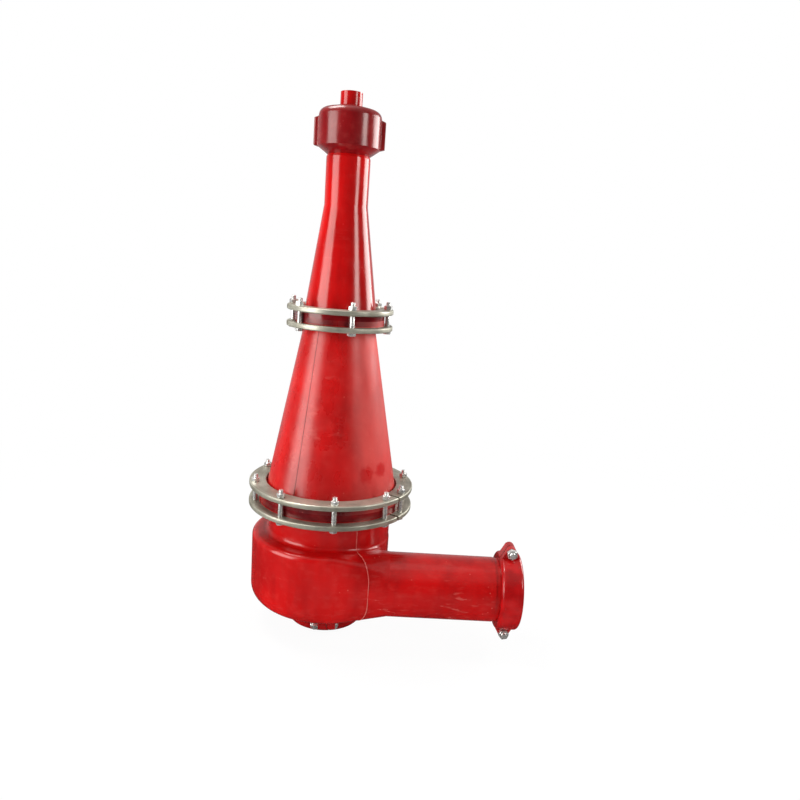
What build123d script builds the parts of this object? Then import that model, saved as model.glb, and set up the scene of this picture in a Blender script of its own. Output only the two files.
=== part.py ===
from build123d import *
from math import cos, radians, sin
import os

os.makedirs("parts", exist_ok=True)

# A hydrocyclone of moulded polyurethane, standing on its overflow end with the spigot up.
# Millimetres, Z up. The origin is on the cyclone's axis, on the surface that it stands on.
# The feed pipe leaves towards +X, and -Y is the side that faces the viewer.

# Grooved pipe ends of the feed and the overflow
pipe_od = 165.0
groove_seat = 18.5
groove_width = 9.0
groove_depth = 2.5
pipe_gap = 3.0

# Couplings, two cast halves each
coupling_width = 57.0
coupling_wall = 7.0
coupling_rounding = 9.0
cavity_depth = 12.5
cavity_width = 31.0
key_clearance = 0.3
lip_clearance = 0.6
ear_reach = 31.5
ear_tip_radius = 13.5
ear_root_width = 52.0
ear_thickness = 23.0
parting_gap = 2.0
parting_angle = 18.0
gasket_clearance = 0.2
gasket_lip_width = 9.0
gasket_groove_depth = 5.0
overflow_ear_angle = -84.0

# Sides of a hexagon head, and how closely a size is matched when edges are picked out
hexagon = 6
size_match = 0.1

# Coupling bolts
track_bolt_diameter = 16.0
track_bolt_hole_clearance = 1.0
track_nut_flats = 24.0
track_nut_height = 14.0
track_nut_turn = 30.0
track_head_diameter = 27.0
track_head_height = 9.0
track_bolt_tip = 6.0

# Feed chamber: a scroll round the neck, which runs out into the feed pipe
wall = 20.0
collar_gap = 11.0
neck_wall = 15.5
neck_height = 75.5
neck_foot_rounding = 12.0
scroll_ledge = 43.5
scroll_end_ledge = 1.5
scroll_rise = 5.0
scroll_bottom_rounding = 44.0
scroll_top_rounding = 15.0
spout_start_x = 30.0
spout_length = 140.0
spout_rise = 14.0
spout_flat_turn = 20.0
feed_step = 1.5
feed_bore = 127.0
feed_length = 276.0
feed_stub = 40.0

# Vortex finder
finder_bore = 104.0
finder_wall = 10.0
finder_length = 215.0
finder_flange_reach = 16.0
finder_flange_thickness = 10.0
finder_clearance = 0.3

# Cyclone body
cyclone_bore = 300.0
large_flange_thickness = 19.5
small_flange_thickness = 14.5
upper_cone_length = 476.0
upper_cone_base_wall = 24.4
upper_cone_top_wall = 19.2
middle_bore = 144.0
lower_cone_length = 279.5
lower_cone_base_wall = 21.2
spigot_neck_step = 5.0
spigot_neck_length = 119.5
spigot_neck_chamfer = 6.0

# Spigot and its nut
thread_diameter = 100.0
thread_length = 78.0
thread_clearance = 0.3
spigot_seat = 6.0
spigot_inlet_bore = 68.0
spigot_insert_wall = 4.0
spigot_outlet_bore = 40.0
spigot_flange_step = 2.0
spigot_flange_thickness = 10.0
spigot_clearance = 0.2
spigot_tip_wall = 7.2
spigot_tip_length = 31.0
nut_wall = 27.7
nut_lip = 2.5
nut_chamfer_height = 18.0
nut_side_height = 89.0
nut_shoulder_rounding = 18.0
nut_dome_height = 9.0
rib_count = 8
rib_start_angle = -18.0
rib_depth = 10.7
rib_width = 18.5
rib_height = 69.0
rib_rounding = 3.0

# Clamp rings, two plate halves each
ring_thickness = 13.0
ring_split_gap = 8.0
flange_overlap = 19.5
large_ring_clearance = 2.1
large_bolt_gap = 10.0
large_ring_edge = 15.5
large_bolts_per_half = 5
large_bolt_spread = 160.0
large_half_angle = -124.0
small_ring_clearance = 3.3
small_bolt_gap = 8.0
small_ring_edge = 14.0
small_bolts_per_half = 3
small_bolt_spread = 136.0
small_half_angle = -73.0

# Clamp bolts
bolt_diameter = 12.0
bolt_hole_clearance = 1.5
bolt_flats = 19.0
bolt_head_height = 7.5
nut_height = 10.8
bolt_tip = 9.0
thread_fit = 0.1

# Radii that follow from each other
pipe_radius = pipe_od / 2
groove_radius = pipe_radius - groove_depth
feed_radius = pipe_radius + feed_step
cyclone_radius = cyclone_bore / 2
neck_radius = cyclone_radius + neck_wall
finder_radius = finder_bore / 2 + finder_wall
upper_cone_base_radius = cyclone_radius + upper_cone_base_wall
upper_cone_top_radius = middle_bore / 2 + upper_cone_top_wall
lower_cone_base_radius = middle_bore / 2 + lower_cone_base_wall
large_ring_bore_radius = upper_cone_base_radius + large_ring_clearance
large_flange_radius = large_ring_bore_radius + flange_overlap
large_bolt_radius = large_flange_radius + large_bolt_gap
large_ring_radius = large_bolt_radius + large_ring_edge
small_ring_bore_radius = lower_cone_base_radius + small_ring_clearance
small_flange_radius = small_ring_bore_radius + flange_overlap
small_bolt_radius = small_flange_radius + small_bolt_gap
small_ring_radius = small_bolt_radius + small_ring_edge
thread_radius = thread_diameter / 2
spigot_neck_radius = thread_radius + spigot_neck_step
spigot_insert_radius = spigot_inlet_bore / 2 + spigot_insert_wall
spigot_flange_radius = thread_radius - spigot_flange_step
spigot_tip_radius = spigot_outlet_bore / 2 + spigot_tip_wall
nut_radius = thread_radius + nut_wall
rib_radius = nut_radius + rib_depth

# Levels, from the standing face up
chamber_height = 2 * (feed_radius + spout_rise)
coupling_z = coupling_width / 2
collar_end = coupling_z + pipe_gap / 2
chamber_bottom = coupling_width + collar_gap
chamber_floor = chamber_bottom + wall
ledge = chamber_bottom + chamber_height
feed_z = chamber_bottom + chamber_height / 2
large_ring_lower_z = ledge + neck_height
large_joint = large_ring_lower_z + ring_thickness + large_flange_thickness
large_ring_upper_z = large_joint + large_flange_thickness
small_joint = large_joint + upper_cone_length
small_ring_lower_z = small_joint - small_flange_thickness - ring_thickness
small_ring_upper_z = small_joint + small_flange_thickness
neck_seam = small_joint + lower_cone_length
nut_bottom = neck_seam + spigot_neck_length
thread_top = nut_bottom + thread_length
nut_inner_face = thread_top + spigot_flange_thickness
nut_side_top = nut_bottom + nut_side_height
nut_dome_edge = nut_side_top + nut_shoulder_rounding
nut_top = nut_dome_edge + nut_dome_height
spigot_tip = nut_top + spigot_tip_length

# The scroll in plan: a back half round its own centre, a wider front quarter round the cyclone's
# side of it, and an end wall that closes in on the neck. The feed pipe runs on from the front.
scroll_radius = neck_radius + scroll_ledge
scroll_end_radius = neck_radius + scroll_end_ledge
scroll_back_radius = (scroll_radius + scroll_end_radius) / 2
scroll_back_x = scroll_end_radius - scroll_back_radius
scroll_front = scroll_radius + scroll_rise
feed_y = feed_radius - scroll_front
spout_end_x = spout_start_x + spout_length
feed_shoulder_x = spout_end_x + feed_length
feed_coupling_x = feed_shoulder_x + feed_stub
feed_end_x = feed_coupling_x - pipe_gap / 2

# Coupling frames: Z along the pipe to its free side, X to the ears, Y to the nuts
feed_frame = Plane((feed_coupling_x, feed_y, feed_z), x_dir=(0, 0, 1), z_dir=(1, 0, 0))
overflow_ears = (cos(radians(overflow_ear_angle)), sin(radians(overflow_ear_angle)), 0)
overflow_frame = Plane((0, 0, coupling_z), x_dir=overflow_ears, z_dir=(0, 0, -1))
bolt_centre = pipe_radius + ear_reach


def finish(builder: BuildPart, name: str) -> None:
    """Labels a finished piece and writes its STEP file."""
    builder.part.label = name
    export_step(builder.part, f"parts/{name}.step")


def passage_plan() -> Sketch:
    """Draws the scroll's passage from above: the outline of its wall, moved in by the wall thickness."""
    front_y = wall - scroll_front
    right_x = scroll_end_radius - wall
    corner = feed_radius - wall
    with BuildSketch() as plan:
        with BuildLine():
            CenterArc((scroll_back_x, -scroll_rise), scroll_back_radius - wall, 0, 180)
            CenterArc((0, -scroll_rise), scroll_radius - wall, 180, 90)
            Line((0, front_y), (right_x - corner, front_y))
            CenterArc((right_x - corner, front_y + corner), corner, -90, 90)
            Line((right_x, front_y + corner), (right_x, -scroll_rise))
        make_face()
    return plan.sketch


def scroll_section(centre_x: float, outwards: tuple[float, float, float], radius: float) -> Sketch:
    """Draws the scroll's section on the plane of an axis and an outward direction, rounded top and bottom."""
    low_centre = (radius - scroll_bottom_rounding, chamber_bottom + scroll_bottom_rounding)
    high_centre = (radius - scroll_top_rounding, ledge - scroll_top_rounding)
    axis_origin = (centre_x, -scroll_rise, 0)
    plane = Plane(axis_origin, x_dir=outwards, z_dir=Vector(outwards).cross(Vector(0, 0, 1)))
    with BuildSketch(plane) as drawing:
        with BuildLine():
            foot = Polyline((0, ledge), (0, chamber_bottom), (low_centre[0], chamber_bottom))
            low = CenterArc(low_centre, scroll_bottom_rounding, -90, 90)
            high = CenterArc(high_centre, scroll_top_rounding, 0, 90)
            Line(low @ 1, high @ 0)
            Line(high @ 1, foot @ 0)
        make_face()
    return drawing.sketch


def spout_section(plane: Plane) -> Sketch:
    """Draws the spout where it leaves the scroll: as tall as the scroll, with the same roundings."""
    low_x = feed_radius - scroll_bottom_rounding
    low_y = scroll_bottom_rounding - chamber_height / 2
    high_x = feed_radius - scroll_top_rounding
    high_y = chamber_height / 2 - scroll_top_rounding
    with BuildSketch(plane) as drawing:
        with BuildLine():
            front_low = CenterArc((-low_x, low_y), scroll_bottom_rounding, 180, 90)
            rear_low = CenterArc((low_x, low_y), scroll_bottom_rounding, -90, 90)
            rear_high = CenterArc((high_x, high_y), scroll_top_rounding, 0, 90)
            front_high = CenterArc((-high_x, high_y), scroll_top_rounding, 90, 90)
            Line(front_low @ 1, rear_low @ 0)
            Line(rear_low @ 1, rear_high @ 0)
            Line(rear_high @ 1, front_high @ 0)
            Line(front_high @ 1, front_low @ 0)
        make_face()
    return drawing.sketch


def pipe_section(plane: Plane) -> Sketch:
    """Draws the spout's round end in eight arcs, which match the spout's corners and flats."""
    corner_turn = 90 - spout_flat_turn
    with BuildSketch(plane) as drawing:
        with BuildLine():
            for quarter in (180, 270, 0, 90):
                CenterArc((0, 0), feed_radius, quarter + spout_flat_turn / 2, corner_turn)
                CenterArc((0, 0), feed_radius, quarter + 90 - spout_flat_turn / 2, spout_flat_turn)
        make_face()
    return drawing.sketch


def coupling_section(frame: Plane) -> Plane:
    """Returns the plane through a coupling's axis and ears: X outwards, Y along the axis."""
    return Plane(frame.origin, x_dir=frame.x_dir, z_dir=-frame.y_dir)


def coupling_half(frame: Plane, side: int) -> BuildPart:
    """Builds one cast half of a coupling, on the nut side (1) or the head side (-1)."""
    section = coupling_section(frame)
    half_width = coupling_width / 2
    cavity_radius = pipe_radius + cavity_depth
    outer_radius = cavity_radius + coupling_wall
    lip_radius = pipe_radius + lip_clearance
    key_radius = groove_radius + key_clearance
    key_start = pipe_gap / 2 + groove_seat + key_clearance
    cavity_end = cavity_width / 2
    parting = frame.y_dir.rotate(Axis((0, 0, 0), frame.x_dir), parting_angle) * side
    with BuildPart() as half:
        with BuildSketch(section):
            with Locations((bolt_centre, 0), (-bolt_centre, 0)):
                Circle(ear_tip_radius)
            Rectangle(2 * cavity_radius, ear_root_width)
            make_hull()
        extrude(amount=ear_thickness, both=True)
        with BuildSketch(frame):
            Circle(cavity_radius + coupling_wall / 2)
        extrude(amount=half_width, both=True, mode=Mode.SUBTRACT)
        with BuildSketch(section):
            with BuildLine():
                inside = Polyline(
                    (cavity_radius, 0),
                    (cavity_radius, cavity_end),
                    (lip_radius, cavity_end),
                    (lip_radius, key_start),
                    (key_radius, key_start),
                    (key_radius, half_width),
                    (outer_radius - coupling_rounding, half_width),
                )
                shoulder = JernArc(inside @ 1, (1, 0), coupling_rounding, -90)
                Line(shoulder @ 1, (outer_radius, 0))
                mirror(about=Plane.XZ)
            make_face()
        revolve(axis=Axis(frame.origin, frame.z_dir))
        with BuildSketch(section):
            with Locations((bolt_centre, 0), (-bolt_centre, 0)):
                Circle((track_bolt_diameter + track_bolt_hole_clearance) / 2)
        extrude(amount=ear_thickness, both=True, mode=Mode.SUBTRACT)
        split(bisect_by=Plane(frame.origin + parting * parting_gap / 2, z_dir=parting), keep=Keep.TOP)
    return half


def coupling_gasket(frame: Plane) -> BuildPart:
    """Builds the rubber ring inside a coupling, with lips on both pipe ends."""
    half_width = cavity_width / 2 - gasket_clearance
    inner_radius = pipe_radius + gasket_clearance
    outer_radius = pipe_radius + cavity_depth - gasket_clearance
    groove_half = half_width - gasket_lip_width
    with BuildPart() as gasket:
        with BuildSketch(coupling_section(frame)):
            with BuildLine():
                Polyline(
                    (inner_radius, half_width),
                    (outer_radius, half_width),
                    (outer_radius, -half_width),
                    (inner_radius, -half_width),
                    (inner_radius, -groove_half),
                    (inner_radius + gasket_groove_depth, -groove_half),
                    (inner_radius + gasket_groove_depth, groove_half),
                    (inner_radius, groove_half),
                    close=True,
                )
            make_face()
        revolve(axis=Axis(frame.origin, frame.z_dir))
    return gasket


def coupling_bolts(frame: Plane) -> BuildPart:
    """Builds a coupling's two round-headed bolts, heads behind the far ears."""
    section = coupling_section(frame)
    ears = Locations((bolt_centre, 0), (-bolt_centre, 0))
    shank_length = 2 * ear_thickness + track_nut_height + track_bolt_tip
    with BuildPart() as bolts:
        with BuildSketch(section.offset(ear_thickness)):
            with ears:
                Circle(track_head_diameter / 2)
        extrude(amount=track_head_height)
        head_ends = bolts.faces().filter_by(GeomType.PLANE).group_by(Axis(frame.origin, -frame.y_dir))[-1]
        fillet(head_ends.edges(), track_head_height / 2)
        with BuildSketch(section.offset(ear_thickness)):
            with ears:
                Circle(track_bolt_diameter / 2)
        extrude(amount=-shank_length)
    return bolts


def coupling_nuts(frame: Plane) -> BuildPart:
    """Builds a coupling's two nuts, on the outer faces of the near ears."""
    with BuildPart() as nuts:
        with BuildSketch(coupling_section(frame).offset(-ear_thickness)):
            with Locations((bolt_centre, 0), (-bolt_centre, 0)):
                RegularPolygon(track_nut_flats / 2, hexagon, major_radius=False, rotation=track_nut_turn)
                Circle(track_bolt_diameter / 2 + thread_fit, mode=Mode.SUBTRACT)
        extrude(amount=-track_nut_height)
    return nuts


def ring_half(level: float, radii: tuple[float, float], pattern: PolarLocations, angle: float) -> BuildPart:
    """Builds one half of a clamp ring, centred on an angle, with its bolt holes."""
    outer, inner = radii
    with BuildPart() as half:
        with BuildSketch(Plane.XY.offset(level)):
            Circle(outer)
            Circle(inner, mode=Mode.SUBTRACT)
            with pattern:
                Circle((bolt_diameter + bolt_hole_clearance) / 2, mode=Mode.SUBTRACT)
            with Locations(Rot(0, 0, angle) * Pos(ring_split_gap / 2, 0)):
                Rectangle(2 * outer, 2 * outer, align=(Align.MAX, Align.CENTER), mode=Mode.SUBTRACT)
        extrude(amount=ring_thickness)
    return half


def ring_bolts(bottom: float, top: float, patterns: list[PolarLocations]) -> BuildPart:
    """Builds a joint's hexagon bolts, from their heads under the lower ring to their free ends."""
    with BuildPart() as bolts:
        with BuildSketch(Plane.XY.offset(bottom)):
            for pattern in patterns:
                with pattern:
                    RegularPolygon(bolt_flats / 2, hexagon, major_radius=False)
        extrude(amount=-bolt_head_height)
        with BuildSketch(Plane.XY.offset(bottom)):
            for pattern in patterns:
                with pattern:
                    Circle(bolt_diameter / 2)
        extrude(amount=top - bottom + nut_height + bolt_tip)
    return bolts


def ring_nuts(top: float, patterns: list[PolarLocations]) -> BuildPart:
    """Builds a joint's nuts, standing on the upper ring."""
    with BuildPart() as nuts:
        with BuildSketch(Plane.XY.offset(top)):
            for pattern in patterns:
                with pattern:
                    RegularPolygon(bolt_flats / 2, hexagon, major_radius=False)
                    Circle(bolt_diameter / 2 + thread_fit, mode=Mode.SUBTRACT)
        extrude(amount=nut_height)
    return nuts


def clamp_joint(
    name: str,
    lower_z: float,
    upper_z: float,
    radii: tuple[float, float],
    bolt_circle: tuple[float, int, float],
    half_angle: float,
) -> None:
    """Builds a flanged joint's clamp: a lower and an upper ring in two halves each, with bolts and nuts."""
    bolt_radius, bolts_per_half, spread = bolt_circle
    patterns = []
    for half, turn in {"front": 0, "rear": 180}.items():
        angle = half_angle + turn
        pattern = PolarLocations(bolt_radius, bolts_per_half, angle - spread / 2, spread, endpoint=True)
        patterns.append(pattern)
        for place, level in {"lower": lower_z, "upper": upper_z}.items():
            finish(ring_half(level, radii, pattern, angle), f"{name}_{place}_{half}")
    top = upper_z + ring_thickness
    finish(ring_bolts(lower_z, top, patterns), f"{name}_bolts")
    finish(ring_nuts(top, patterns), f"{name}_nuts")


def is_rib_front(face: Face) -> bool:
    """Tells whether a face is the outer face of one of the nut's ribs."""
    centre = face.center()
    return abs(Vector(centre.X, centre.Y).length - rib_radius) < size_match


feed_plane = Plane((0, feed_y, feed_z), x_dir=(0, 1, 0), z_dir=(1, 0, 0))
back_axis = Axis((scroll_back_x, -scroll_rise, 0), (0, 0, 1))
front_axis = Axis((0, -scroll_rise, 0), (0, 0, 1))

with BuildPart() as spout:
    add(spout_section(feed_plane.offset(spout_start_x)))
    add(pipe_section(feed_plane.offset(spout_end_x)))
    loft(ruled=True)
    with BuildSketch(feed_plane.offset(spout_end_x)):
        Circle(feed_radius)
    extrude(amount=feed_length)

with BuildPart() as feed_chamber:
    # scroll, from its end wall round the back and the left to its straight front
    revolve(scroll_section(scroll_back_x, (1, 0, 0), scroll_back_radius), axis=back_axis, revolution_arc=180)
    revolve(scroll_section(0, (-1, 0, 0), scroll_radius), axis=front_axis, revolution_arc=90)
    revolve(scroll_section(0, (0, -1, 0), scroll_end_radius), axis=front_axis, revolution_arc=90)
    extrude(scroll_section(0, (0, -1, 0), scroll_radius), amount=spout_start_x, dir=(1, 0, 0))
    add(spout)
    # neck and flange
    with BuildSketch(Plane.XY.offset(feed_z)):
        Circle(neck_radius)
    extrude(amount=large_joint - feed_z)
    ledge_edges = feed_chamber.edges().filter_by(GeomType.CIRCLE).filter_by_position(Axis.Z, ledge, ledge)
    neck_edges = ledge_edges.filter_by(lambda edge: abs(edge.radius - neck_radius) < size_match)
    fillet(neck_edges, neck_foot_rounding)
    with BuildSketch(Plane.XY.offset(large_joint)):
        Circle(large_flange_radius)
    extrude(amount=-large_flange_thickness)
    # grooved end of the feed pipe
    with BuildSketch(feed_plane.offset(feed_shoulder_x)):
        Circle(pipe_radius)
    extrude(amount=feed_end_x - feed_shoulder_x)
    with BuildSketch(feed_plane.offset(feed_end_x - groove_seat)):
        Circle(feed_radius)
        Circle(groove_radius, mode=Mode.SUBTRACT)
    extrude(amount=-groove_width, mode=Mode.SUBTRACT)
    # overflow collar and its groove
    with BuildSketch(Plane.XY.offset(collar_end)):
        Circle(pipe_radius)
    extrude(amount=chamber_floor - collar_end)
    with BuildSketch(Plane.XY.offset(collar_end + groove_seat)):
        Circle(feed_radius)
        Circle(groove_radius, mode=Mode.SUBTRACT)
    extrude(amount=groove_width, mode=Mode.SUBTRACT)
    # passages
    with BuildSketch(Plane.XY.offset(feed_z - feed_bore / 2)):
        add(passage_plan())
    extrude(amount=feed_bore, mode=Mode.SUBTRACT)
    with BuildSketch(Plane.XY.offset(chamber_floor)):
        Circle(cyclone_radius)
    extrude(amount=large_joint - chamber_floor, mode=Mode.SUBTRACT)
    with BuildSketch(Plane.XY.offset(collar_end)):
        Circle(finder_radius + finder_clearance)
    extrude(amount=chamber_floor - collar_end, mode=Mode.SUBTRACT)
    with BuildSketch(feed_plane):
        Circle(feed_bore / 2)
    extrude(amount=feed_end_x, mode=Mode.SUBTRACT)
finish(feed_chamber, "feed_chamber")

# The vortex finder drops in from the open end and hangs by its flange on the chamber's floor
with BuildPart() as vortex_finder:
    with BuildSketch(Plane.XY.offset(collar_end)):
        Circle(finder_radius)
    extrude(amount=chamber_floor + finder_length - collar_end)
    with BuildSketch(Plane.XY.offset(chamber_floor)):
        Circle(finder_radius + finder_flange_reach)
    extrude(amount=finder_flange_thickness)
    with BuildSketch(Plane.XY.offset(collar_end)):
        Circle(finder_bore / 2)
    extrude(amount=chamber_floor + finder_length - collar_end, mode=Mode.SUBTRACT)
finish(vortex_finder, "vortex_finder")

with BuildPart() as upper_cone:
    with BuildSketch(Plane.XZ):
        with BuildLine():
            Polyline(
                (cyclone_radius, large_joint),
                (large_flange_radius, large_joint),
                (large_flange_radius, large_ring_upper_z),
                (upper_cone_base_radius, large_ring_upper_z),
                (upper_cone_top_radius, small_joint - small_flange_thickness),
                (small_flange_radius, small_joint - small_flange_thickness),
                (small_flange_radius, small_joint),
                (middle_bore / 2, small_joint),
                close=True,
            )
        make_face()
    revolve(axis=Axis.Z)
finish(upper_cone, "upper_cone")

with BuildPart() as lower_cone:
    with BuildSketch(Plane.XZ):
        with BuildLine():
            Polyline(
                (middle_bore / 2, small_joint),
                (small_flange_radius, small_joint),
                (small_flange_radius, small_ring_upper_z),
                (lower_cone_base_radius, small_ring_upper_z),
                (spigot_neck_radius, neck_seam),
                (spigot_neck_radius, nut_bottom - spigot_neck_chamfer),
                (thread_radius + nut_lip, nut_bottom),
                (thread_radius, nut_bottom),
                (thread_radius, thread_top),
                (spigot_insert_radius + spigot_clearance, thread_top),
                (spigot_insert_radius + spigot_clearance, neck_seam + spigot_seat),
                (spigot_inlet_bore / 2, neck_seam + spigot_seat),
                close=True,
            )
        make_face()
    revolve(axis=Axis.Z)
finish(lower_cone, "lower_cone")

# The spigot insert stands on its seat in the neck, and its flange lies on the neck's end
with BuildPart() as spigot_insert:
    with BuildSketch(Plane.XZ):
        with BuildLine():
            Polyline(
                (spigot_inlet_bore / 2, neck_seam + spigot_seat),
                (spigot_insert_radius, neck_seam + spigot_seat),
                (spigot_insert_radius, thread_top),
                (spigot_flange_radius, thread_top),
                (spigot_flange_radius, nut_inner_face),
                (spigot_tip_radius, nut_inner_face),
                (spigot_tip_radius, spigot_tip),
                (spigot_outlet_bore / 2, spigot_tip),
                (spigot_outlet_bore / 2, nut_inner_face),
                close=True,
            )
        make_face()
    revolve(axis=Axis.Z)
finish(spigot_insert, "spigot_insert")

with BuildPart() as spigot_nut:
    with BuildSketch(Plane.XZ):
        with BuildLine():
            nut_bore = thread_radius + thread_clearance
            tip_hole = spigot_tip_radius + thread_clearance
            nut_side = Polyline(
                (tip_hole, nut_top),
                (tip_hole, nut_inner_face),
                (nut_bore, nut_inner_face),
                (nut_bore, nut_bottom),
                (thread_radius + nut_lip, nut_bottom),
                (nut_radius, nut_bottom + nut_chamfer_height),
                (nut_radius, nut_side_top),
            )
            shoulder = JernArc(nut_side @ 1, (0, 1), nut_shoulder_rounding, 90)
            Line(shoulder @ 1, (tip_hole, nut_top))
        make_face()
    revolve(axis=Axis.Z)
    rib_root = (thread_radius + nut_radius) / 2
    with BuildSketch(Plane.XY.offset(nut_bottom + nut_chamfer_height)):
        with PolarLocations(rib_root, rib_count, rib_start_angle):
            Rectangle(rib_radius - rib_root, rib_width, align=(Align.MIN, Align.CENTER))
    extrude(amount=rib_height)
    rib_faces = spigot_nut.faces().filter_by(GeomType.PLANE).filter_by(is_rib_front)
    fillet(rib_faces.edges(), rib_rounding)
finish(spigot_nut, "spigot_nut")

# Clamp rings at the two flanged joints
large_circle = (large_bolt_radius, large_bolts_per_half, large_bolt_spread)
small_circle = (small_bolt_radius, small_bolts_per_half, small_bolt_spread)
large_radii = (large_ring_radius, large_ring_bore_radius)
small_radii = (small_ring_radius, small_ring_bore_radius)
clamp_joint("large_ring", large_ring_lower_z, large_ring_upper_z, large_radii, large_circle, large_half_angle)
clamp_joint("small_ring", small_ring_lower_z, small_ring_upper_z, small_radii, small_circle, small_half_angle)

# Couplings on the feed pipe and on the overflow collar
coupling_places = {
    "feed_coupling": (feed_frame, "front", "rear"),
    "overflow_coupling": (overflow_frame, "left", "right"),
}
for name, (frame, nut_side, head_side) in coupling_places.items():
    finish(coupling_half(frame, 1), f"{name}_{nut_side}")
    finish(coupling_half(frame, -1), f"{name}_{head_side}")
    finish(coupling_gasket(frame), f"{name}_gasket")
    finish(coupling_bolts(frame), f"{name}_bolts")
    finish(coupling_nuts(frame), f"{name}_nuts")
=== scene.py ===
"""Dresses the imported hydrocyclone: its finishes, fasteners, mould marks, camera and light.

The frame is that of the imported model: Z up, the cyclone's axis on the origin, the feed pipe towards
+X, and -Y towards the viewer. Meshes, finishes and the studio are in metres. The sizes of the
sub-assemblies and fasteners are in millimetres and degrees, unless a docstring says otherwise.
"""

import logging
from dataclasses import dataclass
from enum import Enum
from math import cos, pi, radians, sin, tan

import bmesh
import bpy
import numpy as np
from mathutils import Matrix


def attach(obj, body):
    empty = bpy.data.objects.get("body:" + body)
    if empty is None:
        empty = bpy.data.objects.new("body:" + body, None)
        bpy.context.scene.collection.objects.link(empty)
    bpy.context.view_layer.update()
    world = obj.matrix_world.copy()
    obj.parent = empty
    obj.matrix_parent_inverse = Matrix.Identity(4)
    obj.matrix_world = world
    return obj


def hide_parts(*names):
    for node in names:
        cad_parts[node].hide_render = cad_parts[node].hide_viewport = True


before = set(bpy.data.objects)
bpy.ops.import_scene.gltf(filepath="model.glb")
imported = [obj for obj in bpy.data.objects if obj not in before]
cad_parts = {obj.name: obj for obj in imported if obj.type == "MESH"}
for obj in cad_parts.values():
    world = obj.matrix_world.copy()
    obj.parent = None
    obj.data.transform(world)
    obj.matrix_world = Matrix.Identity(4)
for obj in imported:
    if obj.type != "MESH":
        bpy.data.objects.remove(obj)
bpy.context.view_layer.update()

log = logging.getLogger("hydrocyclone")
Object = bpy.types.Object
Material = bpy.types.Material
Socket = bpy.types.NodeSocket
Colour = tuple[float, float, float]
Point = tuple[float, float, float]

MM = 0.001


# Meshes


def grid_faces(rows: int, columns: int, close_rows: bool) -> np.ndarray:
    """Numbers the four corners of every face of a grid whose rows are closed loops.

    Args:
        rows: How many loops the grid has.
        columns: How many points each loop has.
        close_rows: Whether the last loop joins the first.

    Returns:
        An array of corner numbers, four to a face.
    """
    last = rows if close_rows else rows - 1
    row, column = np.meshgrid(np.arange(last), np.arange(columns), indexing="ij")
    next_row = (row + 1) % rows
    next_column = (column + 1) % columns
    corners = (
        row * columns + column,
        row * columns + next_column,
        next_row * columns + next_column,
        next_row * columns + column,
    )
    return np.stack(corners, -1).reshape(-1, 4)


def linked(name: str, data: bpy.types.ID) -> Object:
    """Puts a mesh, a lamp or a camera into the scene as an object.

    Args:
        name: The object's name.
        data: The mesh, lamp or camera.

    Returns:
        The new object.
    """
    item = bpy.data.objects.new(name, data)
    bpy.context.collection.objects.link(item)
    return item


def closed_piece(name: str, grids: np.ndarray, close_rows: bool = False, sharp: float = 32.0) -> Object:
    """Makes one piece of closed surfaces, each a grid of loops that ends in poles or in itself.

    Args:
        name: The piece's name.
        grids: Points in metres, as copies x loops x points of a loop x 3.
        close_rows: Whether each grid's last loop joins its first.
        sharp: The angle in degrees above which an edge is shaded as a crease.

    Returns:
        The new object, at the origin.
    """
    copies, rows, columns, _ = grids.shape
    faces = grid_faces(rows, columns, close_rows)
    shift = np.arange(copies)[:, None, None] * (rows * columns)
    mesh = bpy.data.meshes.new(name)
    mesh.from_pydata(grids.reshape(-1, 3).tolist(), [], (faces[None] + shift).reshape(-1, 4).tolist())
    shell = bmesh.new()
    shell.from_mesh(mesh)
    bmesh.ops.remove_doubles(shell, verts=shell.verts, dist=1e-7)
    bmesh.ops.dissolve_degenerate(shell, edges=shell.edges, dist=1e-8)
    bmesh.ops.recalc_face_normals(shell, faces=shell.faces)
    shell.to_mesh(mesh)
    shell.free()
    mesh.polygons.foreach_set("use_smooth", np.ones(len(mesh.polygons), dtype=bool))
    mesh.set_sharp_from_angle(angle=radians(sharp))
    piece = linked(name, mesh)
    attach(piece, "root")
    return piece


def capped(loops: np.ndarray) -> np.ndarray:
    """Closes a run of loops with a pole at each end, at the middle of the end loop.

    Args:
        loops: Points as loops x points of a loop x 3.

    Returns:
        The same loops, with one more at each end.
    """
    first = np.broadcast_to(loops[0].mean(0), loops[:1].shape)
    last = np.broadcast_to(loops[-1].mean(0), loops[:1].shape)
    return np.concatenate([first, loops, last])


def bead(
    path: np.ndarray, outwards: np.ndarray, across: np.ndarray, raised: np.ndarray, turn: float
) -> np.ndarray:
    """Carries a bead's section along a path in a half plane through the axis.

    A point of the section is moved outwards by its height, and across the plane by its offset.

    Args:
        path: Points of distance from the axis and height, in millimetres.
        outwards: The direction out of the wall at each point, in the plane.
        across: The section's offsets, as one row or a row for each point.
        raised: The section's heights.
        turn: The plane's angle, in radians.

    Returns:
        Points as one grid of loops x points of a loop x 3, in metres, with a pole at each end.
    """
    plane = path[:, None, :] + outwards[:, None, :] * raised[None, :, None]
    x = plane[..., 0] * cos(turn) - across * sin(turn)
    y = plane[..., 0] * sin(turn) + across * cos(turn)
    return capped(np.stack([x, y, plane[..., 1]], -1))[None] * MM


def dress(piece: Object, material: Material) -> None:
    """Gives a piece or a carried-over node its one material."""
    piece.data.materials.clear()
    piece.data.materials.append(material)


# Finishes


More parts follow.
